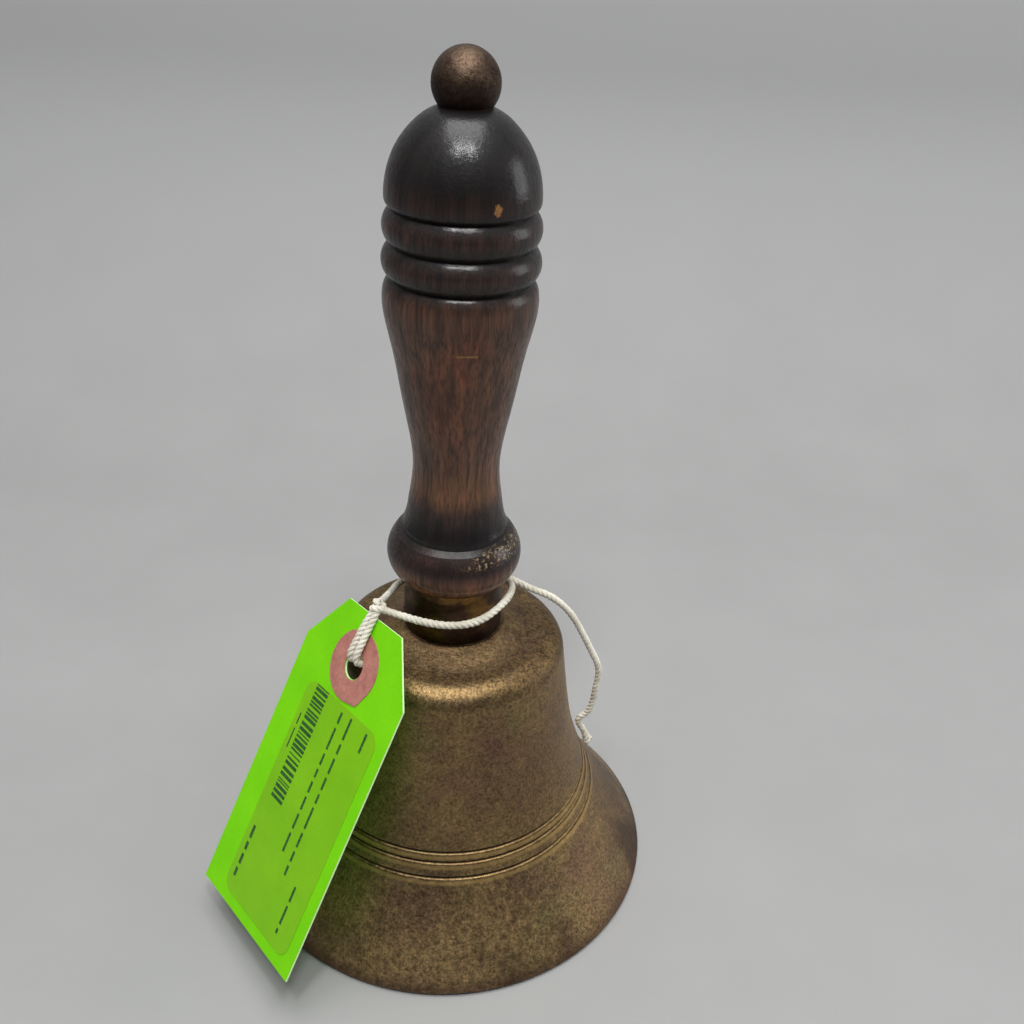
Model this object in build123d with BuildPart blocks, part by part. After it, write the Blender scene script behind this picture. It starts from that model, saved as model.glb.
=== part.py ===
"""A brass hand bell with a turned wooden handle and a card tag tied round its neck.

Units are millimetres. The origin is the centre of the mouth, on the plane that the rim rests on,
and +Z runs up the axis of the handle. The tag leans on the bell's shoulder on its -X, -Y side.
"""

import os
from math import acos, cos, pi, radians, sin, sqrt, tan

from build123d import *

# ---- Driving dimensions -------------------------------------------------------------------

TOTAL_HEIGHT = 177.8

# Cast bell
RIM_RADIUS = 47.1
RIM_HEIGHT = 1.0
WALL = 2.6
LIP_WALL = 3.4
SHOULDER_CENTRE = (19.7, 56.5)
SHOULDER_RADIUS = 5.0
SHOULDER_START = 7.5
SEAT_RADIUS = 11.2
SEAT_HEIGHT = 63.7
CROWN_UNDERSIDE = 58.9
GROOVE_HEIGHTS = (25.1, 23.1, 20.1)
GROOVE_DEPTH = 0.5
FLARE = [(43.2, 6.0), (38.7, 12.0), (33.8, 20.0), (30.4, 28.0), (27.9, 36.5), (26.2, 46.0)]

# Neck ferrule
FERRULE_FOOT_RADIUS = 10.5
FERRULE_TOP_RADIUS = 10.2
FERRULE_TOP = 76.0
FERRULE_FLOOR = 2.4
TENON_RADIUS = 8.3

# Handle
FOOT_BOTTOM_RADIUS = 11.3
FOOT_RADIUS = 13.9
FOOT_HEIGHT = 81.6
WAIST_RADIUS = 8.65
WAIST_HEIGHT = 100.5
BULB_RADIUS = 14.3
BULB_HEIGHT = 136.6
BEAD_RADIUS = 14.5
BEAD_HEIGHTS = (142.3, 148.6)
BEAD_GROOVES = (139.3, 145.4, 151.6)
BEAD_GROOVE_RADIUS = 13.0
DOME_EDGE = 153.4
DOME_RADIUS = 13.9
HANDLE_TOP = 168.2

# Finial and the rod that holds the bell together
BALL_RADIUS = 5.9
FINIAL_SEAT_RADIUS = 4.9
ROD_RADIUS = 2.45
ROD_TOP = 175.0
ROD_CLEARANCE = 0.05
BORE_CLEARANCE = 0.15

# Crown washer and nut
WASHER_RADIUS = 8.0
WASHER_THICKNESS = 1.0
NUT_ACROSS_FLATS = 8.0
NUT_THICKNESS = 3.2

# Clapper
WIRE_RADIUS = 1.1
STAPLE_HALF_WIDTH = 3.4
STAPLE_DROP = 4.4
STAPLE_CORNER = 1.3
UPPER_PIVOT = 47.8
LOWER_PIVOT = 41.2
PIVOT_CLEARANCE = 0.07
EYE_RADIUS = 2.45
EYE_THICKNESS = 2.4
LINK_SHANK_RADIUS = 1.25
CLAPPER_ROD_RADIUS = 1.6
CLAPPER_BALL_RADIUS = 7.0
CLAPPER_BALL_HEIGHT = 12.5

# Cotton string
STRING_DIAMETER = 1.7
STRING_RADIUS = STRING_DIAMETER / 2
NECK_KNOT = (-14.87, -11.74, 73.89)
BACK_KNOT = (8.9, 8.9, 69.6)
KNOT_RADIUS = 1.9
NECK_ROUTE = [
    (-14.1, -12.3, 73.8),
    (-10.6, -12.0, 72.2),
    (-5.6, -13.9, 71.9),
    (0.6, -14.4, 71.4),
    (6.2, -12.4, 71.6),
    (10.8, -8.1, 73.2),
    (12.8, -2.2, 72.8),
    (12.0, 3.7, 70.9),
    (9.1, 8.8, 69.6),
    (3.8, 12.2, 69.0),
    (-2.7, 12.3, 68.7),
    (-8.3, 9.5, 68.7),
    (-12.1, 3.9, 69.2),
    (-13.6, -3.2, 70.9),
    (-15.5, -10.9, 73.8),
]
TAIL_ROUTE = [
    BACK_KNOT,
    (12.4, 6.6, 69.4),
    (16.9, 5.5, 67.6),
    (21.8, 5.3, 65.8),
    (25.9, 5.3, 62.2),
    (29.0, 5.4, 57.0),
    (31.7, 5.5, 51.4),
    (34.6, 5.5, 45.7),
    (34.0, 5.6, 39.4),
    (33.8, 5.7, 35.2),
    (32.8, 5.8, 31.6),
    (30.9, 5.9, 30.6),
    (30.8, 6.0, 28.5),
    (32.5, 6.1, 26.2),
    (33.7, 6.2, 22.8),
]

# The tag's loop, in the tag's own plane: across, along and above the card, from its hole
TAG_LOOP_ROUTE = [
    (-0.95, 11.0, 1.35),
    (-0.95, 6.2, 1.5),
    (-0.95, 1.1, 1.75),
    (-1.1, 1.1, -1.55),
    (-1.9, 5.5, -1.4),
    (-2.1, 9.6, -1.35),
    (2.1, 9.6, -1.35),
    (1.9, 5.5, -1.4),
    (1.1, 1.1, -1.55),
    (0.95, 1.1, 1.75),
    (0.95, 6.2, 1.5),
    (0.95, 11.0, 1.35),
]

# Card tag, placed by the centre of its hole
TAG_HOLE = (-19.5, -16.3, 62.4)
TAG_AZIMUTH = 215.7
TAG_TILT = 30.5
TAG_TWIST = 4.1
TAG_WIDTH = 35.8
TAG_LENGTH = 71.6
TAG_TOP_EDGE = 18.8
TAG_CLIP = 11.8
TAG_HOLE_DROP = 11.0
TAG_HOLE_RADIUS = 2.75
TAG_THICKNESS = 0.4
PATCH_RADIUS = 7.5
PATCH_TIP = 8.3
PATCH_TIP_ANGLE = -52.0
PATCH_HOLE_RADIUS = 2.9
PATCH_THICKNESS = 0.2
LABEL_WIDTH = 26.0
LABEL_LENGTH = 50.0
LABEL_CORNER = 3.0
LABEL_CENTRE = (2.0, -33.0)
LABEL_THICKNESS = 0.1

os.makedirs("parts", exist_ok=True)


# ---- Helpers ------------------------------------------------------------------------------

def save(part, name):
    """Label a finished piece and write it to its own file."""
    part.label = name
    export_step(part, f"parts/{name}.step")


def inset(points, wall):
    """Move each point of an outline inwards by the wall, square to its neighbours' chord."""
    moved = []
    for before, point, after in zip(points, points[1:], points[2:]):
        run = after[0] - before[0]
        rise = after[1] - before[1]
        chord = sqrt(run * run + rise * rise)
        moved.append((point[0] - wall * rise / chord, point[1] + wall * run / chord))
    return moved


def arc_radii(route, share=0.45):
    """Give each inner corner of a route the largest arc that its two runs allow."""
    points = [Vector(*point) for point in route]
    radii = []
    for before, corner, after in zip(points, points[1:], points[2:]):
        arriving = corner - before
        leaving = after - corner
        turn = radians(arriving.get_angle(leaving))
        radii.append(share * min(arriving.length, leaving.length) / tan(turn / 2))
    return radii


def start_plane(path):
    """A plane square to a path at its start, where a round section is drawn."""
    return Plane(origin=path @ 0, z_dir=path % 0)


def radius_at(curve, height):
    """The radius of an outline curve at a height, both in the sketch's own two directions."""
    low, high = 0.0, 1.0
    for _ in range(40):
        middle = (low + high) / 2
        if (curve @ middle).Y < height:
            low = middle
        else:
            high = middle
    return (curve @ low).X


def eye_plane(axis, height):
    """A plane through the bell's axis at a pivot's height, square to the pivot."""
    return Plane(origin=(0, 0, height), z_dir=axis)


# ---- Cast bell ----------------------------------------------------------------------------

shoulder_angle = radians(SHOULDER_START)
shoulder_out = (cos(shoulder_angle), sin(shoulder_angle))
outer_start = (RIM_RADIUS, RIM_HEIGHT)
outer_end = (
    SHOULDER_CENTRE[0] + SHOULDER_RADIUS * shoulder_out[0],
    SHOULDER_CENTRE[1] + SHOULDER_RADIUS * shoulder_out[1],
)
inner_corner = SHOULDER_RADIUS - WALL
inner_end = (
    SHOULDER_CENTRE[0] + inner_corner * shoulder_out[0],
    SHOULDER_CENTRE[1] + inner_corner * shoulder_out[1],
)
outer_points = [outer_start, *FLARE, outer_end]
inner_points = [(RIM_RADIUS - LIP_WALL, 0.0), *inset(outer_points, WALL), inner_end]
flare_start_slope = (-0.62, 0.78)
flare_end_slope = (-shoulder_out[1], shoulder_out[0])
shoulder_top = (SHOULDER_CENTRE[0], SHOULDER_CENTRE[1] + SHOULDER_RADIUS)

with BuildPart() as bell_shell:
    with BuildSketch(Plane.XZ):
        with BuildLine():
            Line((RIM_RADIUS - LIP_WALL, 0), (RIM_RADIUS - RIM_HEIGHT, 0))
            RadiusArc((RIM_RADIUS - RIM_HEIGHT, 0), outer_start, -RIM_HEIGHT)
            flare = Spline(*outer_points, tangents=[flare_start_slope, flare_end_slope])
            CenterArc(SHOULDER_CENTRE, SHOULDER_RADIUS, SHOULDER_START, 90 - SHOULDER_START)
            Spline(shoulder_top, (SEAT_RADIUS, SEAT_HEIGHT), tangents=[(-1, 0), (-0.93, 0.37)])
            Line((SEAT_RADIUS, SEAT_HEIGHT), (ROD_RADIUS + BORE_CLEARANCE, SEAT_HEIGHT))
            Line(
                (ROD_RADIUS + BORE_CLEARANCE, SEAT_HEIGHT),
                (ROD_RADIUS + BORE_CLEARANCE, CROWN_UNDERSIDE),
            )
            Line((ROD_RADIUS + BORE_CLEARANCE, CROWN_UNDERSIDE), (SHOULDER_CENTRE[0], CROWN_UNDERSIDE))
            CenterArc(SHOULDER_CENTRE, inner_corner, SHOULDER_START, 90 - SHOULDER_START)
            Spline(*inner_points, tangents=[flare_start_slope, flare_end_slope])
        make_face()
    revolve(axis=Axis.Z)
    # Turned lines, cut with a round-nosed tool
    for height in GROOVE_HEIGHTS:
        with BuildSketch(Plane.XZ):
            with Locations((radius_at(flare, height), height)):
                Circle(GROOVE_DEPTH)
        revolve(axis=Axis.Z, mode=Mode.SUBTRACT)
save(bell_shell.part, "bell_shell")

# ---- Neck ferrule: a brass socket for the handle's tenon --------------------------------------

ferrule_floor = SEAT_HEIGHT + FERRULE_FLOOR
with BuildPart() as neck_ferrule:
    with BuildSketch(Plane.XY.offset(SEAT_HEIGHT)):
        Circle(FERRULE_FOOT_RADIUS)
    with BuildSketch(Plane.XY.offset(FERRULE_TOP)):
        Circle(FERRULE_TOP_RADIUS)
    loft()
    with BuildSketch(Plane.XY.offset(ferrule_floor)):
        Circle(TENON_RADIUS)
    extrude(amount=FERRULE_TOP - ferrule_floor, mode=Mode.SUBTRACT)
    with BuildSketch(Plane.XY.offset(SEAT_HEIGHT)):
        Circle(ROD_RADIUS + BORE_CLEARANCE)
    extrude(amount=FERRULE_FLOOR, mode=Mode.SUBTRACT)
    chamfer(neck_ferrule.edges().filter_by(GeomType.CIRCLE).sort_by(Axis.Z)[-1], 0.3)
save(neck_ferrule.part, "neck_ferrule")

# ---- Turned handle ---------------------------------------------------------------------------

foot_bottom = (FOOT_BOTTOM_RADIUS, FERRULE_TOP)
foot_lip = (12.1, 86.1)
cove_bottom = (10.8, 86.9)
cove_top = (10.8, 88.1)
# The dome is an ellipse that stops at the finial's seat
dome_turn = acos(FINIAL_SEAT_RADIUS / DOME_RADIUS)
dome_rise = (HANDLE_TOP - DOME_EDGE) / sin(dome_turn)
dome_points = [
    (DOME_RADIUS * cos(share * dome_turn), DOME_EDGE + dome_rise * sin(share * dome_turn))
    for share in (0, 0.25, 0.5, 0.75)
]
dome_end_slope = (-DOME_RADIUS * sin(dome_turn), dome_rise * cos(dome_turn))
with BuildPart() as handle:
    with BuildSketch(Plane.XZ):
        with BuildLine():
            Polyline(
                (ROD_RADIUS + BORE_CLEARANCE, HANDLE_TOP),
                (ROD_RADIUS + BORE_CLEARANCE, ferrule_floor),
                (TENON_RADIUS, ferrule_floor),
                (TENON_RADIUS, FERRULE_TOP),
                foot_bottom,
            )
            # Rounded foot, then a fine step under the waist
            Spline(foot_bottom, (FOOT_RADIUS, FOOT_HEIGHT), foot_lip, tangents=[(0.75, 0.66), (-0.62, 0.78)])
            Polyline(foot_lip, cove_bottom, cove_top)
            # Waist and bulb in one curve
            Spline(
                cove_top,
                (9.4, 94.0),
                (WAIST_RADIUS, WAIST_HEIGHT),
                (10.5, 114.0),
                (12.9, 127.0),
                (BULB_RADIUS, BULB_HEIGHT),
                (BEAD_GROOVE_RADIUS, BEAD_GROOVES[0]),
                tangents=[(-0.45, 0.89), (-0.75, 0.66)],
            )
            # Two beads between three grooves
            ThreePointArc(
                (BEAD_GROOVE_RADIUS, BEAD_GROOVES[0]),
                (BEAD_RADIUS, BEAD_HEIGHTS[0]),
                (BEAD_GROOVE_RADIUS, BEAD_GROOVES[1]),
            )
            ThreePointArc(
                (BEAD_GROOVE_RADIUS, BEAD_GROOVES[1]),
                (BEAD_RADIUS - 0.2, BEAD_HEIGHTS[1]),
                (BEAD_GROOVE_RADIUS - 0.1, BEAD_GROOVES[2]),
            )
            # Domed end, flat under the finial
            Spline(
                (BEAD_GROOVE_RADIUS - 0.1, BEAD_GROOVES[2]),
                (DOME_RADIUS, DOME_EDGE),
                tangents=[(0.8, 0.6), (0, 1)],
            )
            Spline(*dome_points, (FINIAL_SEAT_RADIUS, HANDLE_TOP), tangents=[(0, 1), dome_end_slope])
            Line((FINIAL_SEAT_RADIUS, HANDLE_TOP), (ROD_RADIUS + BORE_CLEARANCE, HANDLE_TOP))
        make_face()
    revolve(axis=Axis.Z)
save(handle.part, "handle")

# ---- Finial ball, screwed down on the rod ----------------------------------------------------

finial_centre = TOTAL_HEIGHT - BALL_RADIUS
with BuildPart() as finial_ball:
    with Locations((0, 0, finial_centre)):
        Sphere(BALL_RADIUS)
    with BuildSketch(Plane.XY.offset(HANDLE_TOP)):
        Circle(FINIAL_SEAT_RADIUS - 0.2)
    extrude(amount=finial_centre - HANDLE_TOP)
    split(bisect_by=Plane.XY.offset(HANDLE_TOP), keep=Keep.TOP)
    with BuildSketch(Plane.XY.offset(HANDLE_TOP)):
        Circle(ROD_RADIUS + ROD_CLEARANCE)
    extrude(amount=ROD_TOP + 0.3 - HANDLE_TOP, mode=Mode.SUBTRACT)
save(finial_ball.part, "finial_ball")

# ---- Centre rod with the clapper's staple at its foot ------------------------------------------

with BuildPart() as centre_rod:
    with BuildLine() as upper_staple:
        upper_corners = Polyline(
            (-STAPLE_HALF_WIDTH, 0, UPPER_PIVOT),
            (STAPLE_HALF_WIDTH, 0, UPPER_PIVOT),
            (STAPLE_HALF_WIDTH, 0, UPPER_PIVOT + STAPLE_DROP),
            (-STAPLE_HALF_WIDTH, 0, UPPER_PIVOT + STAPLE_DROP),
            close=True,
        )
        fillet(upper_staple.vertices(), STAPLE_CORNER)
    with BuildSketch(start_plane(upper_staple.wires()[0])):
        Circle(WIRE_RADIUS)
    sweep(path=upper_staple.wires()[0])
    with BuildSketch(Plane.XY.offset(UPPER_PIVOT + STAPLE_DROP)):
        Circle(ROD_RADIUS)
    extrude(amount=ROD_TOP - UPPER_PIVOT - STAPLE_DROP)
    chamfer(centre_rod.edges().filter_by(GeomType.CIRCLE).sort_by(Axis.Z)[-1], 0.4)
save(centre_rod.part, "centre_rod")

# ---- Washer and nut under the crown ------------------------------------------------------------

washer_underside = CROWN_UNDERSIDE - WASHER_THICKNESS
with BuildPart() as crown_washer:
    with BuildSketch(Plane.XY.offset(washer_underside)):
        Circle(WASHER_RADIUS)
        Circle(ROD_RADIUS + BORE_CLEARANCE, mode=Mode.SUBTRACT)
    extrude(amount=WASHER_THICKNESS)
    chamfer(crown_washer.faces().sort_by(Axis.Z)[0].outer_wire().edges(), 0.2)
save(crown_washer.part, "crown_washer")

with BuildPart() as crown_nut:
    with BuildSketch(Plane.XY.offset(washer_underside - NUT_THICKNESS)):
        RegularPolygon(NUT_ACROSS_FLATS / 2, 6, major_radius=False)
        Circle(ROD_RADIUS + ROD_CLEARANCE, mode=Mode.SUBTRACT)
    extrude(amount=NUT_THICKNESS)
    # The corners of the lower face are turned off at 30 degrees
    with BuildSketch(Plane.XY.offset(washer_underside - NUT_THICKNESS)):
        Circle(NUT_ACROSS_FLATS / 2)
    extrude(amount=NUT_THICKNESS, taper=-60, mode=Mode.INTERSECT)
save(crown_nut.part, "crown_nut")

# ---- Clapper link: two eyes at right angles -----------------------------------------------------

with BuildPart() as clapper_link:
    for axis, height in (((1, 0, 0), UPPER_PIVOT), ((0, 1, 0), LOWER_PIVOT)):
        with BuildSketch(eye_plane(axis, height)):
            Circle(EYE_RADIUS)
        extrude(amount=EYE_THICKNESS / 2, both=True)
    with BuildSketch(Plane.XY.offset(LOWER_PIVOT)):
        Circle(LINK_SHANK_RADIUS)
    extrude(amount=UPPER_PIVOT - LOWER_PIVOT)
    for axis, height in (((1, 0, 0), UPPER_PIVOT), ((0, 1, 0), LOWER_PIVOT)):
        with BuildSketch(eye_plane(axis, height)):
            Circle(WIRE_RADIUS + PIVOT_CLEARANCE)
        extrude(amount=EYE_THICKNESS, both=True, mode=Mode.SUBTRACT)
save(clapper_link.part, "clapper_link")

# ---- Clapper: a wire staple and rod, and a ball --------------------------------------------------

with BuildPart() as clapper_rod:
    with BuildLine() as lower_staple:
        lower_corners = Polyline(
            (0, -STAPLE_HALF_WIDTH, LOWER_PIVOT),
            (0, STAPLE_HALF_WIDTH, LOWER_PIVOT),
            (0, STAPLE_HALF_WIDTH, LOWER_PIVOT - STAPLE_DROP),
            (0, -STAPLE_HALF_WIDTH, LOWER_PIVOT - STAPLE_DROP),
            close=True,
        )
        fillet(lower_staple.vertices(), STAPLE_CORNER)
    with BuildSketch(start_plane(lower_staple.wires()[0])):
        Circle(WIRE_RADIUS)
    sweep(path=lower_staple.wires()[0])
    with BuildSketch(Plane.XY.offset(CLAPPER_BALL_HEIGHT)):
        Circle(CLAPPER_ROD_RADIUS)
    extrude(amount=LOWER_PIVOT - STAPLE_DROP - CLAPPER_BALL_HEIGHT)
save(clapper_rod.part, "clapper_rod")

with BuildPart() as clapper_ball:
    with Locations((0, 0, CLAPPER_BALL_HEIGHT)):
        Sphere(CLAPPER_BALL_RADIUS)
    with BuildSketch(Plane.XY.offset(CLAPPER_BALL_HEIGHT)):
        Circle(CLAPPER_ROD_RADIUS)
    extrude(amount=CLAPPER_BALL_RADIUS, mode=Mode.SUBTRACT)
save(clapper_ball.part, "clapper_ball")

# ---- Card tag ------------------------------------------------------------------------------------

azimuth = radians(TAG_AZIMUTH)
tilt = radians(TAG_TILT)
tag_normal = Vector(cos(azimuth) * cos(tilt), sin(azimuth) * cos(tilt), sin(tilt))
level = Vector(-sin(azimuth), cos(azimuth), 0)
tag_across = level.rotate(Axis((0, 0, 0), tag_normal), TAG_TWIST)
tag_plane = Plane(origin=TAG_HOLE, x_dir=tag_across, z_dir=tag_normal)
top = TAG_HOLE_DROP
bottom = TAG_HOLE_DROP - TAG_LENGTH
half = TAG_WIDTH / 2

with BuildPart() as tag_card:
    with BuildSketch(tag_plane.offset(-TAG_THICKNESS / 2)):
        with BuildLine():
            Polyline(
                (-half, bottom),
                (half, bottom),
                (half, top - TAG_CLIP),
                (TAG_TOP_EDGE / 2, top),
                (-TAG_TOP_EDGE / 2, top),
                (-half, top - TAG_CLIP),
                close=True,
            )
        make_face()
        Circle(TAG_HOLE_RADIUS, mode=Mode.SUBTRACT)
    extrude(amount=TAG_THICKNESS)
save(tag_card.part, "tag_card")

# Fibre patches: round, with one corner left where the disc was cut
tip = radians(PATCH_TIP_ANGLE)
spread = radians(25.0)
patch_faces = (
    ("tag_patch_front", TAG_THICKNESS / 2),
    ("tag_patch_back", -TAG_THICKNESS / 2 - PATCH_THICKNESS),
)
for name, level_above in patch_faces:
    with BuildPart() as patch:
        with BuildSketch(tag_plane.offset(level_above)):
            Circle(PATCH_RADIUS)
            with BuildLine():
                Polyline(
                    (0, 0),
                    (PATCH_RADIUS * cos(tip - spread), PATCH_RADIUS * sin(tip - spread)),
                    (PATCH_TIP * cos(tip), PATCH_TIP * sin(tip)),
                    (PATCH_RADIUS * cos(tip + spread), PATCH_RADIUS * sin(tip + spread)),
                    close=True,
                )
            make_face()
            Circle(PATCH_HOLE_RADIUS, mode=Mode.SUBTRACT)
        extrude(amount=PATCH_THICKNESS)
    save(patch.part, name)

with BuildPart() as tag_label:
    with BuildSketch(tag_plane.offset(TAG_THICKNESS / 2)):
        with Locations(LABEL_CENTRE):
            RectangleRounded(LABEL_WIDTH, LABEL_LENGTH, LABEL_CORNER)
        Circle(PATCH_RADIUS + 0.1, mode=Mode.SUBTRACT)
        with BuildLine():
            Polyline(
                (0, 0),
                (PATCH_RADIUS * cos(tip - spread), PATCH_RADIUS * sin(tip - spread)),
                ((PATCH_TIP + 0.2) * cos(tip), (PATCH_TIP + 0.2) * sin(tip)),
                (PATCH_RADIUS * cos(tip + spread), PATCH_RADIUS * sin(tip + spread)),
                close=True,
            )
        make_face(mode=Mode.SUBTRACT)
    extrude(amount=LABEL_THICKNESS)
save(tag_label.part, "tag_label")

# ---- Cotton string -----------------------------------------------------------------------------

tag_loop_route = [tuple(tag_plane.from_local_coords(Vector(*point))) for point in TAG_LOOP_ROUTE]
routes = (("neck_string", NECK_ROUTE), ("string_tail", TAIL_ROUTE), ("tag_loop", tag_loop_route))
for name, route in routes:
    radii = arc_radii(route)
    print(name, "arc radii", [round(radius, 2) for radius in radii])
    with BuildPart() as cord:
        with BuildLine():
            path = FilletPolyline(*route, radius=radii)
        with BuildSketch(start_plane(path)):
            Circle(STRING_RADIUS)
        sweep(path=path)
    cord_volume = pi * STRING_RADIUS ** 2 * path.length
    print(name, "length", round(path.length, 1), "volume ratio", round(cord.part.volume / cord_volume, 4))
    save(cord.part, name)

for name, place in (("neck_knot", NECK_KNOT), ("back_knot", BACK_KNOT)):
    with BuildPart() as knot:
        with Locations(place):
            Sphere(KNOT_RADIUS)
    save(knot.part, name)
print("knot in the tag's plane", tag_plane.to_local_coords(Vector(*NECK_KNOT)))
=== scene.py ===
"""Looks for a brass hand bell with a turned wooden handle and a card tag on a cotton string.

Sizes are in metres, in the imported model's own frame: the origin is the centre of the bell's
mouth, on the plane it stands on, +Z runs up the handle, and the camera looks along +Y.
"""

import math

import bpy
import numpy as np
from mathutils import Matrix, Vector


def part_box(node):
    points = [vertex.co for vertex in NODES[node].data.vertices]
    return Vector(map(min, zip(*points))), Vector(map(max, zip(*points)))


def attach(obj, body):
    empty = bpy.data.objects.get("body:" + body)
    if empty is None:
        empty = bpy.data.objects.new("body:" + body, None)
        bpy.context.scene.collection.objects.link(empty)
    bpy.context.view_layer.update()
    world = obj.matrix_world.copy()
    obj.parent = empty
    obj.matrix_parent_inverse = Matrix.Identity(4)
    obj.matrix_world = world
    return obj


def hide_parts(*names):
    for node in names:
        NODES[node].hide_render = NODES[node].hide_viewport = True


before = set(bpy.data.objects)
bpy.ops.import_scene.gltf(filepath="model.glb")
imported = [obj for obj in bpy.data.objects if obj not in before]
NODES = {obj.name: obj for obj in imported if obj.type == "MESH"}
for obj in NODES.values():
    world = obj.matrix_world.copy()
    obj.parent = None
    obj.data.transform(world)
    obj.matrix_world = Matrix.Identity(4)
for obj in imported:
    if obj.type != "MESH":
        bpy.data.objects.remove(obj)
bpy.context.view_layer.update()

MM = 0.001

# ---- Camera --------------------------------------------------------------------------------

CAMERA_PLACE = (0.0, -0.18416, 0.19723)
CAMERA_PITCH = math.radians(30.127)
CAMERA_ROLL = math.radians(3.313)
CAMERA_YAW = math.radians(3.622)
SENSOR = 36.0
FOCAL_OVER_WIDTH = 1.0156

# ---- String --------------------------------------------------------------------------------

STRING_DIAMETER = 0.0017
STRING_PLIES = 3
PLY_OFFSET = 0.00034
PLY_RADIUS = 0.00047
PLY_PITCH = 0.0034
PLY_STEP = 0.00022
FRAYED_LENGTH = 0.0035
KNOT_TURN_RADIUS = 0.0010

NECK_ROUTE = [
    (-0.0141, -0.0123, 0.0738),
    (-0.0106, -0.0120, 0.0722),
    (-0.0056, -0.0139, 0.0719),
    (0.0006, -0.0144, 0.0714),
    (0.0062, -0.0124, 0.0716),
    (0.0108, -0.0081, 0.0732),
    (0.0128, -0.0022, 0.0728),
    (0.0120, 0.0037, 0.0709),
    (0.0091, 0.0088, 0.0696),
    (0.0038, 0.0122, 0.0690),
    (-0.0027, 0.0123, 0.0687),
    (-0.0083, 0.0095, 0.0687),
    (-0.0121, 0.0039, 0.0692),
    (-0.0136, -0.0032, 0.0709),
    (-0.0155, -0.0109, 0.0738),
]
TAIL_ROUTE = [
    (0.0089, 0.0089, 0.0696),
    (0.0124, 0.0066, 0.0694),
    (0.0169, 0.0055, 0.0676),
    (0.0218, 0.0053, 0.0658),
    (0.0259, 0.0053, 0.0622),
    (0.0290, 0.0054, 0.0570),
    (0.0317, 0.0055, 0.0514),
    (0.0346, 0.0055, 0.0457),
    (0.0340, 0.0056, 0.0394),
    (0.0338, 0.0057, 0.0352),
    (0.0328, 0.0058, 0.0316),
    (0.0309, 0.0059, 0.0306),
    (0.0308, 0.0060, 0.0285),
    (0.0325, 0.0061, 0.0262),
    (0.0337, 0.0062, 0.0228),
]
# In the tag's own plane: across, along and above the card, from the centre of its hole
TAG_LOOP_ROUTE = [
    (-0.00055, 0.0124, 0.00085),
    (-0.00095, 0.0062, 0.00150),
    (-0.00095, 0.0011, 0.00175),
    (-0.00110, 0.0011, -0.00155),
    (-0.00190, 0.0055, -0.00140),
    (-0.00210, 0.0096, -0.00135),
    (0.00210, 0.0096, -0.00135),
    (0.00190, 0.0055, -0.00140),
    (0.00110, 0.0011, -0.00155),
    (0.00095, 0.0011, 0.00175),
    (0.00095, 0.0062, 0.00150),
    (0.00055, 0.0124, 0.00085),
]

# ---- Tag -----------------------------------------------------------------------------------

TAG_HOLE = Vector((-0.0195, -0.0163, 0.0624))
TAG_AZIMUTH = math.radians(215.7)
TAG_TILT = math.radians(30.5)
TAG_TWIST = math.radians(4.1)


def tag_frame():
    """The matrix that carries the tag's own plane (across, along, above the card) to the frame."""
    flat = math.cos(TAG_TILT)
    normal = Vector((math.cos(TAG_AZIMUTH) * flat, math.sin(TAG_AZIMUTH) * flat, math.sin(TAG_TILT)))
    level = Vector((-math.sin(TAG_AZIMUTH), math.cos(TAG_AZIMUTH), 0.0))
    across = Matrix.Rotation(TAG_TWIST, 3, normal) @ level
    along = normal.cross(across)
    turn = Matrix((across, along, normal)).transposed()
    return Matrix.Translation(TAG_HOLE) @ turn.to_4x4()


TAG = tag_frame()
TAG_NORMAL = TAG.to_3x3() @ Vector((0, 0, 1))


# ---- Materials: a small painter for node trees ---------------------------------------------

def tone(red, green, blue):
    """A screen colour, 0 to 255, as the linear colour that a shader takes."""
    linear = []
    for value in (red, green, blue):
        share = value / 255
        linear.append(share / 12.92 if share <= 0.04045 else ((share + 0.055) / 1.055) ** 2.4)
    return (*linear, 1.0)


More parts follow.
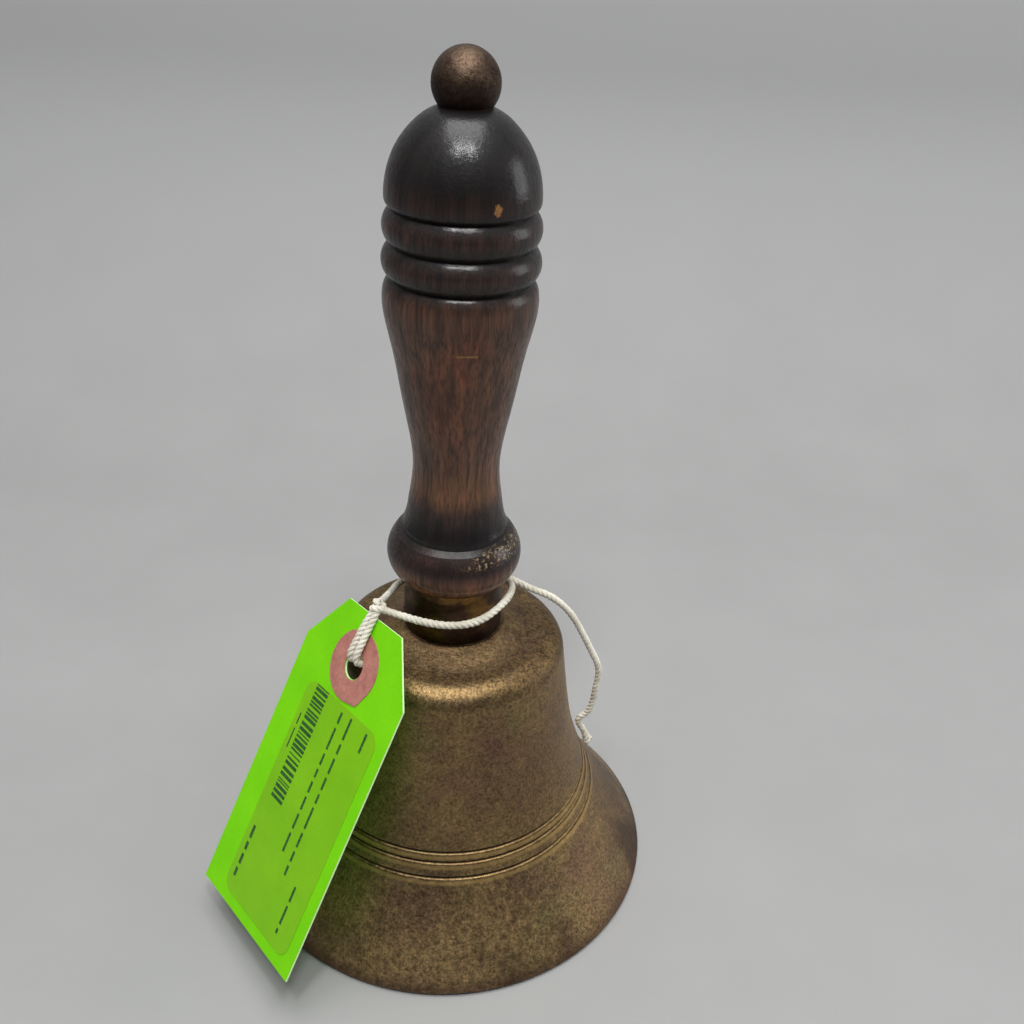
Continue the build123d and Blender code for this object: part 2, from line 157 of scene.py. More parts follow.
class Paint:
    """A material in the making: a Principled shader, and short calls that add what feeds it."""

    def __init__(self, name, **constants):
        self.material = bpy.data.materials.new(name)
        self.material.use_nodes = True
        self.tree = self.material.node_tree
        self.shader = self.tree.nodes["Principled BSDF"]
        for socket, value in constants.items():
            self.shader.inputs[socket.replace("_", " ")].default_value = value
        coordinates = self.tree.nodes.new("ShaderNodeTexCoord")
        self.place = coordinates.outputs["Object"]
        self.normal = coordinates.outputs["Normal"]

    def feed(self, socket, value):
        """Give a socket either another node's output or a plain value."""
        if isinstance(value, bpy.types.NodeSocket):
            self.tree.links.new(value, socket)
        else:
            socket.default_value = value

    def to_shader(self, socket, value):
        self.feed(self.shader.inputs[socket], value)

    def stretched(self, scale):
        """The place on the surface, scaled along each axis."""
        node = self.tree.nodes.new("ShaderNodeMapping")
        self.feed(node.inputs["Vector"], self.place)
        node.inputs["Scale"].default_value = scale
        return node.outputs["Vector"]

    def noise(self, scale, detail=4.0, roughness=0.55, stretch=(1, 1, 1), seed=0.0):
        """Noise with features about 1 / scale metres across."""
        node = self.tree.nodes.new("ShaderNodeTexNoise")
        node.noise_dimensions = "4D"
        self.feed(node.inputs["Vector"], self.stretched(stretch))
        node.inputs["W"].default_value = seed
        node.inputs["Scale"].default_value = scale
        node.inputs["Detail"].default_value = detail
        node.inputs["Roughness"].default_value = roughness
        return node.outputs["Fac"]

    def maths(self, operation, first, second=0.0, third=0.0, clamp=False):
        node = self.tree.nodes.new("ShaderNodeMath")
        node.operation = operation
        node.use_clamp = clamp
        for socket, value in zip(node.inputs, (first, second, third)):
            self.feed(socket, value)
        return node.outputs[0]

    def span(self, value, low, high, to_low=0.0, to_high=1.0, rise="SMOOTHSTEP"):
        """A value's rise from low to high, as a number from to_low to to_high."""
        node = self.tree.nodes.new("ShaderNodeMapRange")
        node.interpolation_type = rise
        for socket, given in zip(node.inputs, (value, low, high, to_low, to_high)):
            self.feed(socket, given)
        return node.outputs[0]

    def band(self, value, middle, half, soft):
        """One inside a band about the middle, and nothing outside it."""
        away = self.maths("ABSOLUTE", self.maths("SUBTRACT", value, middle))
        return self.span(away, half - soft / 2, half + soft / 2, 1.0, 0.0)

    def ramp(self, value, stops):
        """Colours along a value from 0 to 1."""
        node = self.tree.nodes.new("ShaderNodeValToRGB")
        elements = node.color_ramp.elements
        while len(elements) < len(stops):
            elements.new(1.0)
        for element, (position, colour) in zip(elements, stops):
            element.position = position
        for element, (position, colour) in zip(elements, stops):
            element.color = colour
        self.feed(node.inputs["Fac"], value)
        return node.outputs["Color"]

    def mix(self, share, first, second, way="MIX"):
        """Two colours together; share is how much of the second."""
        node = self.tree.nodes.new("ShaderNodeMix")
        node.data_type = "RGBA"
        node.blend_type = way
        self.feed(node.inputs[0], share)
        self.feed(node.inputs[6], first)
        self.feed(node.inputs[7], second)
        return node.outputs[2]

    def worked(self, colour, share, pattern, *stops):
        """A colour multiplied by a pattern's shades; each stop is (position, red, green, blue)."""
        shades = [(position, (*shade, 1)) for position, *shade in stops]
        return self.mix(share, colour, self.ramp(pattern, shades), "MULTIPLY")

    def stained(self, colour, stain, *shares):
        """A colour with another laid over it, by the product of the shares."""
        total = shares[0]
        for share in shares[1:]:
            total = self.maths("MULTIPLY", total, share)
        return self.mix(total, colour, stain)

    def axes(self, vector):
        """The three parts of a vector."""
        node = self.tree.nodes.new("ShaderNodeSeparateXYZ")
        self.feed(node.inputs[0], vector)
        return node.outputs

    def radius(self):
        """Distance from the bell's axis."""
        x, y, z = self.axes(self.place)
        squares = self.maths("ADD", self.maths("MULTIPLY", x, x), self.maths("MULTIPLY", y, y))
        return self.maths("SQRT", squares)

    def outward(self):
        """How far the surface faces away from the bell's axis: 1 outward, -1 inward."""
        x, y, z = self.axes(self.place)
        nx, ny, nz = self.axes(self.normal)
        along = self.maths("ADD", self.maths("MULTIPLY", x, nx), self.maths("MULTIPLY", y, ny))
        return self.maths("DIVIDE", along, self.maths("MAXIMUM", self.radius(), 0.0001))

    def vector_maths(self, operation, first, second=(0, 0, 0)):
        """Both outputs, vector and value, of an operation on a vector and a fixed one."""
        node = self.tree.nodes.new("ShaderNodeVectorMath")
        node.operation = operation
        self.feed(node.inputs[0], first)
        node.inputs[1].default_value = second
        return node.outputs

    def toward(self, vector, direction):
        """How much of a vector lies along a fixed direction."""
        return self.vector_maths("DOT_PRODUCT", vector, direction)["Value"]

    def away_from(self, centre, size):
        """How far a place is from a centre, in units of a size along each axis."""
        offset = self.vector_maths("SUBTRACT", self.place, centre)["Vector"]
        scaled = self.vector_maths("DIVIDE", offset, size)["Vector"]
        return self.vector_maths("LENGTH", scaled)["Value"]

    def bumps(self, *layers, socket="Normal"):
        """Bump from (height, depth in metres, strength) layers, coarse first."""
        below = None
        for height, depth, strength in layers:
            node = self.tree.nodes.new("ShaderNodeBump")
            node.inputs["Strength"].default_value = strength
            node.inputs["Distance"].default_value = depth
            self.feed(node.inputs["Height"], height)
            if below is not None:
                self.feed(node.inputs["Normal"], below)
            below = node.outputs["Normal"]
        self.to_shader(socket, below)


GROOVE_HEIGHTS = (0.0251, 0.0231, 0.0201)
HIGHLIGHT_BELOW_GROOVE = 0.00095
SHOULDER_HEIGHT = 0.0606
SHOULDER_WANDER = 0.004
CROWN_LEVEL = 0.0605
WHITE = (1, 1, 1, 1)


def bell_brass():
    """Old cast brass: mottled brown and gold, sandy, with dark lines in the grooves, painted highlights on
    the shoulder and under the grooves, and a painted reflection down the flare.
    """
    paint = Paint("aged_brass", Metallic=1.0)
    height = paint.axes(paint.place)[2]
    patches = paint.noise(38, detail=5, roughness=0.6, seed=1.0)
    colour = paint.ramp(patches, [
        (0.30, tone(112, 90, 74)),
        (0.46, tone(134, 112, 84)),
        (0.58, tone(148, 126, 90)),
        (0.72, tone(118, 94, 80)),
    ])
    plum = paint.span(paint.noise(55, detail=4, seed=7.0), 0.52, 0.68, 0.0, 0.55)
    colour = paint.mix(plum, colour, tone(118, 86, 84))
    olive = paint.span(paint.noise(70, detail=4, seed=12.0), 0.55, 0.70, 0.0, 0.45)
    colour = paint.mix(olive, colour, tone(120, 116, 82))
    # Sandy grain and a scatter of pits
    grain = paint.noise(1700, detail=4, roughness=0.75, seed=3.0)
    colour = paint.worked(colour, 0.75, grain, (0.34, 0.22, 0.21, 0.21), (0.60, 1.45, 1.4, 1.3))
    coarse = paint.noise(700, detail=4, roughness=0.65, seed=4.0)
    colour = paint.worked(colour, 0.5, coarse, (0.36, 0.5, 0.48, 0.46), (0.64, 1.2, 1.18, 1.1))
    # Painted reflection: dark streaks down the flare where the camera's side is mirrored, and a dark lip
    low = paint.span(height, 0.004, 0.020, 1.0, 0.0)
    dark_reflection = paint.span(paint.noise(75, detail=3, stretch=(1, 1, 0.25), seed=21.0), 0.48, 0.62)
    colour = paint.stained(colour, tone(66, 54, 46), dark_reflection, low, 0.7)
    lip = paint.span(height, 0.0012, 0.0034, 0.65, 0.0)
    colour = paint.mix(lip, colour, tone(78, 58, 50))
    # Dark bands along the turned lines, and a painted highlight in a bright band just under each
    for groove in GROOVE_HEIGHTS:
        bright = paint.band(height, groove - HIGHLIGHT_BELOW_GROOVE, 0.00035, 0.0006)
        colour = paint.stained(colour, tone(206, 172, 108), bright, 0.45)
        colour = paint.mix(paint.band(height, groove, 0.00030, 0.0004), colour, tone(56, 42, 32))
    # Painted highlight: a ragged gold band along the shoulder, where the light above is mirrored
    centred = paint.maths("SUBTRACT", height, SHOULDER_WANDER / 2)
    ragged = paint.maths("MULTIPLY_ADD", paint.noise(160, detail=4, seed=15.0), SHOULDER_WANDER, centred)
    shoulder_highlight = paint.band(ragged, SHOULDER_HEIGHT, 0.0007, 0.0016)
    colour = paint.stained(colour, tone(200, 162, 98), shoulder_highlight, paint.span(grain, 0.42, 0.60), 0.45)
    # The same edge is painted darker, a painted shade so that it doesn't mirror the light above
    edge = paint.band(height, SHOULDER_HEIGHT - 0.0003, 0.0022, 0.002)
    colour = paint.mix(1.0, colour, paint.mix(edge, WHITE, (0.62, 0.62, 0.64, 1)), "MULTIPLY")
    # Inside the bell and on faces that point down, the colour is darker
    inside = paint.span(paint.outward(), -0.2, 0.2, 1.0, 0.0)
    under = paint.span(paint.axes(paint.normal)[2], -0.7, -0.5, 1.0, 0.0)
    below_crown = paint.span(height, CROWN_LEVEL, CROWN_LEVEL + 0.0005, 1.0, 0.0)
    inside = paint.maths("MAXIMUM", paint.maths("MULTIPLY", inside, below_crown), under)
    colour = paint.stained(colour, tone(74, 58, 40), inside, 0.6)
    paint.to_shader("Base Color", colour)
    paint.to_shader("Roughness", paint.span(coarse, 0.3, 0.7, 0.38, 0.56))
    paint.bumps((coarse, 0.00018, 0.6), (grain, 0.00010, 0.8))
    return paint.material


def ferrule_brass():
    """The neck: turned brass, dark, with fine rings and darker towards its foot."""
    paint = Paint("neck_brass", Metallic=1.0)
    height = paint.axes(paint.place)[2]
    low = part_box("neck_ferrule")[0].z
    patches = paint.noise(120, detail=5, roughness=0.6, stretch=(1, 1, 1.6), seed=31.0)
    colour = paint.ramp(patches, [
        (0.36, tone(52, 40, 36)),
        (0.50, tone(86, 66, 54)),
        (0.60, tone(138, 108, 62)),
        (0.70, tone(88, 68, 58)),
    ])
    darker_below = paint.span(height, low, low + 0.0035, 0.8, 0.0)
    colour = paint.mix(darker_below, colour, tone(40, 31, 26))
    grain = paint.noise(2200, detail=3, roughness=0.7, seed=33.0)
    colour = paint.worked(colour, 0.6, grain, (0.3, 0.5, 0.48, 0.46), (0.65, 1.2, 1.15, 1.05))
    rings = paint.noise(900, detail=2, stretch=(0.03, 0.03, 1), seed=34.0)
    paint.to_shader("Base Color", colour)
    paint.to_shader("Roughness", paint.span(grain, 0.3, 0.7, 0.34, 0.5))
    paint.bumps((rings, 0.00006, 0.5), (grain, 0.00004, 0.5))
    return paint.material


def finial_metal():
    """The ball: brown, handled brass with a few bright rubs, and a painted reflection that darkens it low
    down.
    """
    paint = Paint("finial_brass", Metallic=1.0)
    patches = paint.noise(160, detail=5, roughness=0.62, seed=41.0)
    colour = paint.ramp(patches, [
        (0.32, tone(54, 44, 39)),
        (0.50, tone(80, 66, 56)),
        (0.66, tone(100, 84, 68)),
    ])
    grain = paint.noise(1800, detail=4, roughness=0.75, seed=43.0)
    colour = paint.worked(colour, 0.8, grain, (0.36, 0.3, 0.28, 0.27), (0.60, 1.4, 1.35, 1.3))
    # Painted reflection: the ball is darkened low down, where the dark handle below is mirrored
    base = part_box("finial_ball")[0].z
    darker_below = paint.span(paint.axes(paint.place)[2], base + 0.001, base + 0.0060, 0.75, 0.0)
    colour = paint.mix(darker_below, colour, tone(40, 29, 26))
    paint.to_shader("Base Color", colour)
    paint.to_shader("Roughness", paint.span(patches, 0.3, 0.7, 0.60, 0.46))
    paint.bumps((patches, 0.00020, 0.4), (grain, 0.00012, 0.9))
    return paint.material


# Wood tone by height up the handle, in millimetres from the bell's mouth
WOOD_TONES = [
    (75.5, (70, 50, 38)),
    (77.5, (104, 76, 56)),
    (80.5, (92, 66, 50)),
    (82.6, (34, 25, 24)),
    (85.5, (42, 31, 29)),
    (87.4, (16, 12, 12)),
    (90.5, (20, 15, 15)),
    (94.0, (46, 34, 30)),
    (97.5, (96, 68, 48)),
    (106.0, (90, 66, 52)),
    (122.0, (88, 62, 46)),
    (136.0, (76, 54, 42)),
    (139.3, (20, 15, 14)),
    (142.0, (50, 36, 31)),
    (145.4, (20, 15, 14)),
    (148.6, (48, 34, 30)),
    (151.6, (18, 14, 13)),
    (153.6, (40, 27, 23)),
    (157.5, (18, 13, 13)),
    (168.2, (14, 12, 13)),
]
# The foot is worn in a short band on one side
FOOT_WEAR_HEIGHT = 0.0852
FOOT_WEAR_SIDE = (0.8, -0.6, 0.0)
# Places where the varnish is chipped to bare wood: centre and size
CHIPS = [
    ((0.0058, -0.0124, 0.1543), (0.0007, 0.0016, 0.0010)),
    ((0.0016, -0.0133, 0.1289), (0.0026, 0.0020, 0.00022)),
]


def handle_wood():
    """Dark varnished hardwood, grain along the handle, worn where it has been knocked."""
    paint = Paint(
        "dark_wood",
        Coat_Weight=0.42,
        Coat_Roughness=0.14,
        Coat_IOR=1.5,
        Specular_IOR_Level=0.18,
    )
    height = paint.axes(paint.place)[2]
    low, high = WOOD_TONES[0][0], WOOD_TONES[-1][0]
    along = paint.span(height, low * MM, high * MM, rise="LINEAR")
    colour = paint.ramp(along, [((z - low) / (high - low), tone(*c)) for z, c in WOOD_TONES])
    # Grain: long streaks, then fine dark pores
    streaks = paint.noise(420, detail=5, roughness=0.6, stretch=(1, 1, 0.035), seed=51.0)
    colour = paint.worked(
        colour, 0.85, streaks, (0.34, 0.36, 0.34, 0.35), (0.50, 0.95, 0.92, 0.9), (0.66, 1.85, 1.6, 1.45),
    )
    pores = paint.noise(1900, detail=3, roughness=0.7, stretch=(1, 1, 0.07), seed=52.0)
    colour = paint.worked(
        colour, 0.8, pores, (0.40, 0.42, 0.40, 0.40), (0.52, 1.0, 1.0, 1.0), (0.68, 1.35, 1.25, 1.15),
    )
    red = paint.span(paint.noise(60, detail=4, stretch=(1, 1, 0.5), seed=53.0), 0.50, 0.66, 0.0, 0.5)
    colour = paint.mix(red, colour, paint.mix(1.0, colour, (1.35, 0.78, 0.62, 1), "MULTIPLY"))
    # Bare wood: a few chips, and a worn patch on the right of the foot
    specks = paint.noise(1500, detail=3, roughness=0.7, seed=54.0)
    for centre, size in CHIPS:
        ragged = paint.maths("ADD", paint.away_from(centre, size), paint.span(specks, 0.3, 0.7, -0.5, 0.5))
        colour = paint.mix(paint.span(ragged, 0.75, 1.05, 0.8, 0.0), colour, tone(150, 106, 58))
    ring = paint.band(height, FOOT_WEAR_HEIGHT, 0.0013, 0.0016)
    right = paint.span(paint.toward(paint.place, FOOT_WEAR_SIDE), 0.0085, 0.0115)
    colour = paint.stained(colour, tone(150, 132, 96), ring, paint.span(specks, 0.53, 0.60), right, 0.8)
    paint.to_shader("Base Color", colour)
    paint.to_shader("Roughness", paint.span(pores, 0.35, 0.65, 0.62, 0.42))
    varnish = paint.noise(1300, detail=4, roughness=0.75, seed=55.0)
    paint.bumps((streaks, 0.00020, 0.35), (pores, 0.00009, 0.6), (varnish, 0.00012, 0.8))
    paint.bumps((pores, 0.00003, 0.4), (varnish, 0.00009, 0.6), socket="Coat Normal")
    return paint.material


def plated_steel(name, base, seed):
    """Dulled plated steel, brushed a little and stained."""
    paint = Paint(name, Metallic=1.0)
    stains = paint.noise(260, detail=4, roughness=0.65, seed=seed)
    colour = paint.ramp(stains, [(0.35, tone(*(part * 0.6 for part in base))), (0.6, tone(*base))])
    grain = paint.noise(2400, detail=3, roughness=0.7, stretch=(1, 1, 0.4), seed=seed + 1)
    paint.to_shader("Base Color", colour)
    paint.to_shader("Roughness", paint.span(stains, 0.35, 0.65, 0.48, 0.30))
    paint.bumps((grain, 0.00004, 0.5))
    return paint.material


def cotton():
    """White cotton string, a little grey in its hollows."""
    paint = Paint("cotton_string", Roughness=0.92, Sheen_Weight=0.25, Sheen_Roughness=0.6)
    soil = paint.noise(260, detail=4, roughness=0.6, seed=61.0)
    fibres = paint.noise(5200, detail=3, roughness=0.75, stretch=(1, 1, 0.5), seed=62.0)
    colour = paint.ramp(soil, [(0.34, tone(196, 190, 172)), (0.62, tone(226, 222, 208))])
    colour = paint.worked(colour, 0.5, fibres, (0.32, 0.62, 0.60, 0.56), (0.6, 1.08, 1.07, 1.05))
    paint.to_shader("Base Color", colour)
    paint.bumps((fibres, 0.00008, 0.8))
    return paint.material


def neon_card():
    """Fluorescent green card with a pale cut edge, and a weak painted glow that stands in for its
    fluorescence.
    """
    paint = Paint("neon_card", Roughness=0.7, Specular_IOR_Level=0.2, Emission_Strength=0.16)
    fibres = paint.noise(1400, detail=4, roughness=0.6, seed=71.0)
    mottle = paint.noise(90, detail=3, seed=72.0)
    colour = paint.ramp(mottle, [(0.35, tone(104, 189, 0)), (0.65, tone(113, 197, 2))])
    colour = paint.worked(colour, 0.3, fibres, (0.35, 0.86, 0.9, 0.8), (0.65, 1.05, 1.05, 1.05))
    face = paint.maths("ABSOLUTE", paint.toward(paint.normal, TAG_NORMAL))
    colour = paint.mix(paint.span(face, 0.4, 0.8, 0.75, 0.0), colour, tone(216, 238, 190))
    paint.to_shader("Base Color", colour)
    # Painted glow: the card gives off a little light of its own, standing in for its fluorescence
    paint.to_shader("Emission Color", colour)
    paint.bumps((fibres, 0.00004, 0.35))
    return paint.material


def label_film():
    """A thin clear label over the green card: duller, a little glossy, with a weak painted glow."""
    paint = Paint("printed_label", Roughness=0.45, Specular_IOR_Level=0.3, Emission_Strength=0.08)
    mottle = paint.noise(120, detail=4, seed=75.0)
    fibres = paint.noise(1700, detail=3, seed=76.0)
    colour = paint.ramp(mottle, [(0.34, tone(110, 172, 2)), (0.66, tone(119, 181, 6))])
    colour = paint.worked(colour, 0.3, fibres, (0.35, 0.86, 0.88, 0.84), (0.65, 1.05, 1.05, 1.05))
    paint.to_shader("Base Color", colour)
    # Painted glow: the label gives off a little light of its own
    paint.to_shader("Emission Color", colour)
    paint.bumps((mottle, 0.0002, 0.2), (fibres, 0.00003, 0.3))
    return paint.material


def print_ink():
    """Dark green thermal print, thin in places."""
    paint = Paint("label_print", Roughness=0.6)
    wear = paint.noise(2200, detail=3, roughness=0.7, seed=78.0)
    paint.to_shader("Base Color", paint.ramp(wear, [(0.42, tone(10, 62, 26)), (0.72, tone(60, 118, 24))]))
    return paint.material


def fibre_patch():
    """Pressed pinkish-brown fibre, with hairs of darker stuff and a scuffed face."""
    paint = Paint("fibre_patch", Roughness=0.8)
    mottle = paint.noise(420, detail=5, roughness=0.65, seed=81.0)
    hairs = paint.noise(2400, detail=3, stretch=(1, 0.25, 1), seed=82.0)
    colour = paint.ramp(mottle, [
        (0.32, tone(158, 98, 88)),
        (0.5, tone(176, 116, 104)),
        (0.68, tone(188, 130, 112)),
    ])
    colour = paint.worked(colour, 0.45, hairs, (0.34, 0.66, 0.6, 0.58), (0.62, 1.06, 1.05, 1.04))
    paint.to_shader("Base Color", colour)
    paint.bumps((mottle, 0.00008, 0.4), (hairs, 0.00004, 0.5))
    return paint.material


def dress(material, *names):
    """Give CAD nodes a material in place of the plain one that they were packed with."""
    for name in names:
        slots = NODES[name].data.materials
        slots.clear()
        slots.append(material)


# ---- Cords -----------------------------------------------------------------------------------

def centreline(name, route):
    """The smooth line of a cord: points read from a NURBS curve with the route as its controls."""
    curve = bpy.data.curves.new(name, "CURVE")
    curve.dimensions = "3D"
    spline = curve.splines.new("NURBS")
    spline.points.add(len(route) - 1)
    for point, place in zip(spline.points, route):
        point.co = (*place, 1.0)
    spline.order_u = 3
    spline.use_endpoint_u = True
    spline.resolution_u = 24
    guide = bpy.data.objects.new(name, curve)
    bpy.context.scene.collection.objects.link(guide)
    bpy.context.view_layer.update()
    mesh = bpy.data.meshes.new_from_object(guide.evaluated_get(bpy.context.evaluated_depsgraph_get()))
    points = np.array([vertex.co for vertex in mesh.vertices])
    bpy.data.objects.remove(guide)
    bpy.data.curves.remove(curve)
    bpy.data.meshes.remove(mesh)
    return points


def even_steps(points, step):
    """The same line with its points a constant step apart."""
    gaps = np.linalg.norm(np.diff(points, axis=0), axis=1)
    run = np.concatenate([[0.0], np.cumsum(gaps)])
    count = max(8, int(run[-1] / step))
    at = np.linspace(0.0, run[-1], count + 1)
    return np.stack([np.interp(at, run, points[:, k]) for k in range(3)], axis=1), at


def carried_frames(points):
    """A tangent and two square directions at each point, carried along without twist."""
    tangent = np.gradient(points, axis=0)
    tangent /= np.linalg.norm(tangent, axis=1)[:, None]
    side = np.zeros_like(points)
    first = np.cross(tangent[0], (0.3, 0.2, 1.0))
    side[0] = first / np.linalg.norm(first)
    for k in range(1, len(points)):
        moved = side[k - 1] - tangent[k] * (side[k - 1] @ tangent[k])
        side[k] = moved / np.linalg.norm(moved)
    return tangent, side, np.cross(tangent, side)


def tube(points, radii, sides=10):
    """Vertices and faces of a closed tube along points, with a radius at each."""
    tangent, side, other = carried_frames(points)
    angle = np.linspace(0, 2 * math.pi, sides, endpoint=False)
    ring = side[:, None, :] * np.cos(angle)[None, :, None]
    ring = ring + other[:, None, :] * np.sin(angle)[None, :, None]
    vertices = (points[:, None, :] + ring * np.asarray(radii)[:, None, None]).reshape(-1, 3)
    faces = []
    for k in range(len(points) - 1):
        for s in range(sides):
            t = (s + 1) % sides
            faces.append((k * sides + s, k * sides + t, (k + 1) * sides + t, (k + 1) * sides + s))
    faces.append(tuple(range(sides - 1, -1, -1)))
    last = (len(points) - 1) * sides
    faces.append(tuple(last + s for s in range(sides)))
    return vertices, faces


def mesh_object(name, vertices, faces, material):
    """A smooth mesh object from plain lists."""
    mesh = bpy.data.meshes.new(name)
    mesh.from_pydata([tuple(v) for v in vertices], [], faces)
    mesh.materials.append(material)
    mesh.shade_smooth()
    mesh.update()
    made = bpy.data.objects.new(name, mesh)
    bpy.context.scene.collection.objects.link(made)
    return made


def twisted(points, splay=0.0):
    """Vertices and faces of plies laid round a line. splay opens them over the last few millimetres."""
    line, run = even_steps(points, PLY_STEP)
    tangent, side, other = carried_frames(line)
    rng = np.random.default_rng(5)
    wander = np.interp(run, np.linspace(0, run[-1], 40), rng.normal(0, 0.00003, 40))
    opening = np.clip((run - (run[-1] - FRAYED_LENGTH)) / FRAYED_LENGTH, 0, 1) ** 2 * splay
    vertices, faces = [], []
    for ply in range(STRING_PLIES):
        angle = 2 * math.pi * (run / PLY_PITCH + ply / STRING_PLIES)
        out = side * np.cos(angle)[:, None] + other * np.sin(angle)[:, None]
        strand = line + out * (PLY_OFFSET + wander + opening)[:, None]
        lumps = 1 + 0.05 * np.sin(run * 2600 + ply)
        radii = PLY_RADIUS * lumps * (1 - 0.35 * np.clip(opening / 0.001, 0, 1))
        ply_vertices, ply_faces = tube(strand, radii)
        start = sum(len(block) for block in vertices)
        vertices.append(ply_vertices)
        faces += [tuple(start + index for index in face) for face in ply_faces]
    return np.concatenate(vertices), faces


def hitch(name, centre, axis, size, material):
    """A tight hitch: a turn and a half of the string round an axis, its ends tucked in."""
    turn = Vector(axis).to_track_quat("Z", "X").to_matrix()
    at = np.linspace(0, 3 * math.pi, 90)
    tuck = 1 - 0.75 * np.clip(np.abs(at / (1.5 * math.pi) - 1) * 4 - 3, 0, 1)
    loop = np.stack([
        np.cos(at) * size * tuck,
        np.sin(at) * size * tuck,
        (at / (3 * math.pi) - 0.5) * STRING_DIAMETER * 1.3,
    ], axis=1)
    loop = loop @ np.array(turn).T + np.array(centre)
    vertices, faces = twisted(loop)
    return mesh_object(name, vertices, faces, material)


def string_pieces(material):
    """The neck string, its tail, the tag's loop and the two knots."""
    down_the_tag = TAG.to_3x3() @ Vector((0, -1, 0))
    knots = []
    for name, node, axis in (
        ("neck_knot_wound", "neck_knot", down_the_tag),
        ("back_knot_wound", "back_knot", Vector((1, -0.5, 0))),
    ):
        low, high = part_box(node)
        made = hitch(name, (Vector(low) + Vector(high)) / 2, axis, KNOT_TURN_RADIUS, material)
        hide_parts(node)
        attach(made, "string")
        knots.append(made)
    tag_nodes = [NODES[name] for name in ("tag_card", "tag_patch_front", "tag_patch_back", "tag_label")]
    tag_loop_route = [tuple(TAG @ Vector(point)) for point in TAG_LOOP_ROUTE]
    cords = (
        ("neck_cord", "neck_string", "string", NECK_ROUTE, "knot", "taut", 0.0, knots),
        ("tail_cord", "string_tail", "string", TAIL_ROUTE, "bare", "hanging", 0.0007, []),
        ("tag_cord", "tag_loop", "tag", tag_loop_route, "object", "taut", 0.0, tag_nodes),
    )
    for name, node, body, route, far_end, lay, splay, with_pieces in cords:
        line = centreline(name + "_guide", route)
        vertices, faces = twisted(line, splay)
        piece = mesh_object(name, vertices, faces, material)
        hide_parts(node)
        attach(piece, body)


# ---- Print on the label --------------------------------------------------------------------------

PRINT_ABOVE_CARD = 0.00031
PRINT_THICKNESS = 0.00002


def printed_marks(material):
    """Bars and rows of dashes that stand for a barcode and lines of print, with no lettering."""
    rng = np.random.default_rng(11)
    marks = []

    def bar(across, along, width, length):
        marks.append((across, along, width, length))

    along = -0.0082
    while along > -0.0338:
        thickness = rng.choice([0.00028, 0.00045, 0.00075])
        bar(-0.0058, along - thickness / 2, 0.0044, thickness)
        along -= thickness + rng.choice([0.0003, 0.00045, 0.0007])

    def dashes(across, start, end, height):
        place = start
        while place > end:
            dash = min(rng.uniform(0.0018, 0.0052), place - end + 0.0006)
            bar(across, place - dash / 2, height * 0.36, dash)
            place -= dash + 0.0010

    dashes(-0.0094, -0.0158, -0.0240, 0.0011)
    dashes(0.0056, -0.0090, -0.0442, 0.0018)
    dashes(0.0023, -0.0094, -0.0408, 0.0018)
    dashes(0.0113, -0.0092, -0.0128, 0.0018)
    dashes(-0.0088, -0.0425, -0.0540, 0.0024)
    dashes(0.0100, -0.0446, -0.0546, 0.0018)
    vertices, faces = [], []
    for across, along, width, length in marks:
        start = len(vertices)
        for above in (PRINT_ABOVE_CARD, PRINT_ABOVE_CARD + PRINT_THICKNESS):
            for dx, dy in ((-1, -1), (1, -1), (1, 1), (-1, 1)):
                vertices.append(TAG @ Vector((across + dx * width / 2, along + dy * length / 2, above)))
        for face in ((3, 2, 1, 0), (4, 5, 6, 7), (0, 1, 5, 4), (1, 2, 6, 5), (2, 3, 7, 6), (3, 0, 4, 7)):
            faces.append(tuple(start + index for index in face))
    piece = mesh_object("label_marks", vertices, faces, material)
    piece.data.shade_flat()
    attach(piece, "tag")


# ---- Stage -----------------------------------------------------------------------------------------

FLOOR_HALF = 1.6
SWEEP_START = 0.16
SWEEP_RADIUS = 0.14
BACKDROP_TOP = 1.2


def floor():
    """A pale matt floor that sweeps up into a backdrop behind the object."""
    profile = [(-FLOOR_HALF, 0.0), (SWEEP_START, 0.0)]
    for step in range(1, 25):
        turn = step / 24 * math.pi / 2
        profile.append((
            SWEEP_START + SWEEP_RADIUS * math.sin(turn),
            SWEEP_RADIUS * (1 - math.cos(turn)),
        ))
    profile.append((SWEEP_START + SWEEP_RADIUS, BACKDROP_TOP))
    vertices = [(x, y, z - 0.00005) for y, z in profile for x in (-FLOOR_HALF, FLOOR_HALF)]
    faces = [(2 * k, 2 * k + 1, 2 * k + 3, 2 * k + 2) for k in range(len(profile) - 1)]
    paint = Paint("pale_floor", Roughness=0.75)
    mottle = paint.noise(26, detail=4, seed=91.0)
    near = paint.ramp(mottle, [(0.35, tone(144, 144, 143)), (0.65, tone(147, 147, 146))])
    far_share = paint.span(paint.axes(paint.place)[2], 0.0, SWEEP_RADIUS)
    paint.to_shader("Base Color", paint.mix(far_share, near, tone(164, 164, 164)))
    mesh_object("stage_floor", vertices, faces, paint.material)


def area_light(name, place, aim, size, watts, colour=(1, 1, 1)):
    """A soft rectangular light that faces a point."""
    light = bpy.data.lights.new(name, "AREA")
    light.shape = "RECTANGLE"
    light.size, light.size_y = size
    light.energy = watts
    light.color = colour
    made = bpy.data.objects.new(name, light)
    made.location = place
    made.rotation_euler = (Vector(aim) - Vector(place)).to_track_quat("-Z", "Y").to_euler()
    bpy.context.scene.collection.objects.link(made)


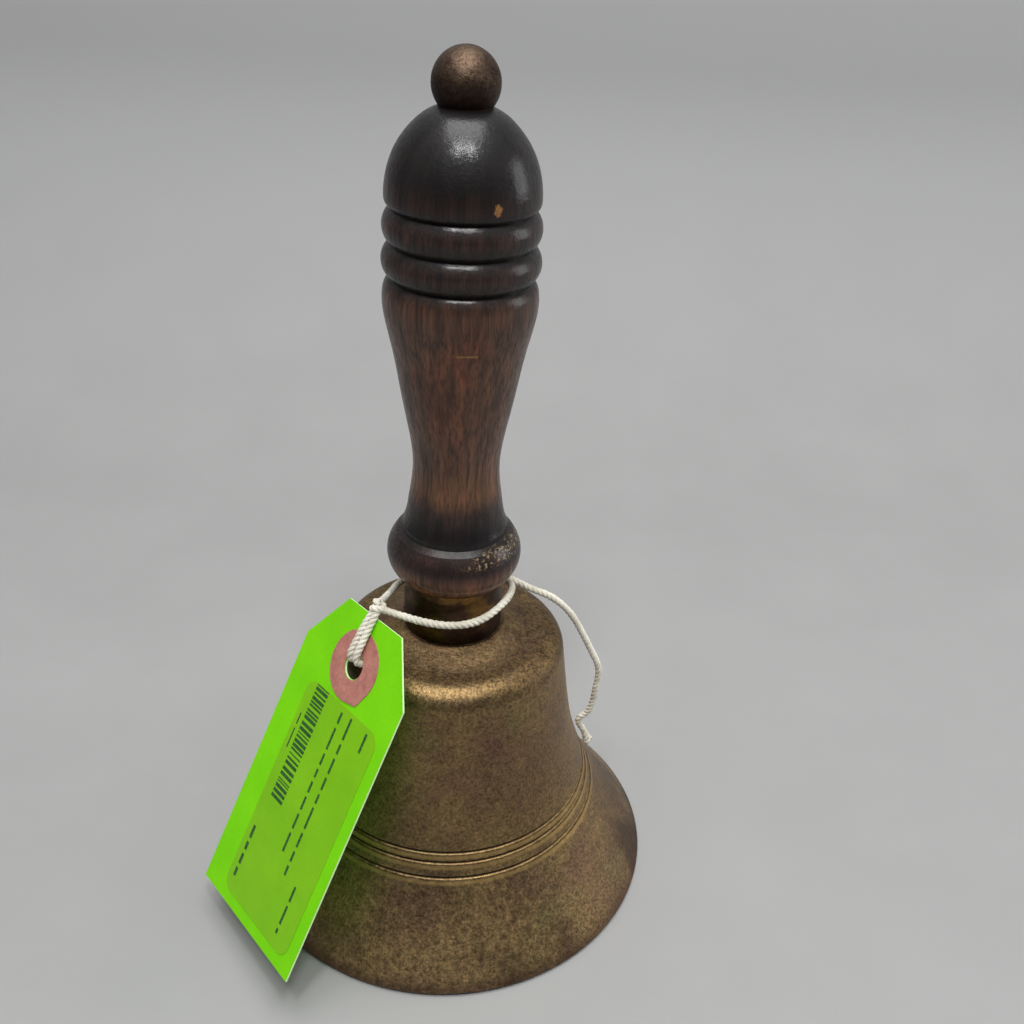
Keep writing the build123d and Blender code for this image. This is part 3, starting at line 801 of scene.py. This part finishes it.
def surroundings():
    """A pale tent of light, dimmer low down on the camera's side."""
    world = bpy.data.worlds.new("tent")
    world.use_nodes = True
    bpy.context.scene.world = world
    nodes, links = world.node_tree.nodes, world.node_tree.links
    coordinates = nodes.new("ShaderNodeTexCoord")
    parts = nodes.new("ShaderNodeSeparateXYZ")
    ramp = nodes.new("ShaderNodeValToRGB")
    toward_back = nodes.new("ShaderNodeMath")
    toward_back.operation = "MULTIPLY_ADD"
    toward_back.inputs[1].default_value = 0.25
    toward_back.inputs[2].default_value = 0.5
    raised = nodes.new("ShaderNodeMath")
    raised.operation = "MULTIPLY_ADD"
    raised.inputs[1].default_value = 0.35
    links.new(coordinates.outputs["Generated"], parts.inputs[0])
    links.new(parts.outputs["Y"], toward_back.inputs[0])
    links.new(parts.outputs["Z"], raised.inputs[0])
    links.new(toward_back.outputs[0], raised.inputs[2])
    links.new(raised.outputs[0], ramp.inputs["Fac"])
    elements = ramp.color_ramp.elements
    elements[0].position, elements[0].color = 0.25, (0.07, 0.07, 0.08, 1)
    elements[1].position, elements[1].color = 0.85, (0.62, 0.63, 0.65, 1)
    links.new(ramp.outputs["Color"], nodes["Background"].inputs["Color"])
    nodes["Background"].inputs["Strength"].default_value = 0.8


def camera():
    """The camera, from its place, pitch, yaw and roll."""
    forward = Vector((
        math.sin(CAMERA_YAW) * math.cos(CAMERA_PITCH),
        math.cos(CAMERA_YAW) * math.cos(CAMERA_PITCH),
        -math.sin(CAMERA_PITCH),
    ))
    right = Vector((math.cos(CAMERA_YAW), -math.sin(CAMERA_YAW), 0))
    up = right.cross(forward)
    x_axis = right * math.cos(CAMERA_ROLL) + up * math.sin(CAMERA_ROLL)
    y_axis = up * math.cos(CAMERA_ROLL) - right * math.sin(CAMERA_ROLL)
    data = bpy.data.cameras.new("camera")
    data.sensor_width = SENSOR
    data.lens = SENSOR * FOCAL_OVER_WIDTH
    data.clip_start = 0.005
    made = bpy.data.objects.new("camera", data)
    turn = Matrix((x_axis, y_axis, -forward)).transposed()
    made.matrix_world = Matrix.Translation(CAMERA_PLACE) @ turn.to_4x4()
    bpy.context.scene.collection.objects.link(made)
    bpy.context.scene.camera = made


camera()
floor()
surroundings()
area_light("overhead", (0.0, 0.0, 1.0), (0, 0, 0), (0.7, 0.5), 7.0)
area_light("front_left", (-0.10, -0.34, 0.80), (0, 0, 0.12), (0.08, 0.14), 2.0)
area_light("right_side", (0.75, 0.05, 0.30), (0, 0, 0.06), (0.30, 0.40), 1.4)
area_light("front_right", (0.10, -0.34, 0.80), (0, 0, 0.12), (0.08, 0.14), 2.0)

dress(bell_brass(), "bell_shell")
dress(ferrule_brass(), "neck_ferrule")
dress(handle_wood(), "handle")
dress(finial_metal(), "finial_ball")
steel = plated_steel("steel", (150, 148, 142), 101.0)
dress(steel, "centre_rod", "crown_washer", "crown_nut", "clapper_link", "clapper_rod")
dress(plated_steel("clapper_metal", (176, 144, 92), 105.0), "clapper_ball")
dress(neon_card(), "tag_card")
dress(fibre_patch(), "tag_patch_front", "tag_patch_back")
dress(label_film(), "tag_label")
string_pieces(cotton())
printed_marks(print_ink())

bpy.context.scene.view_settings.view_transform = "Standard"
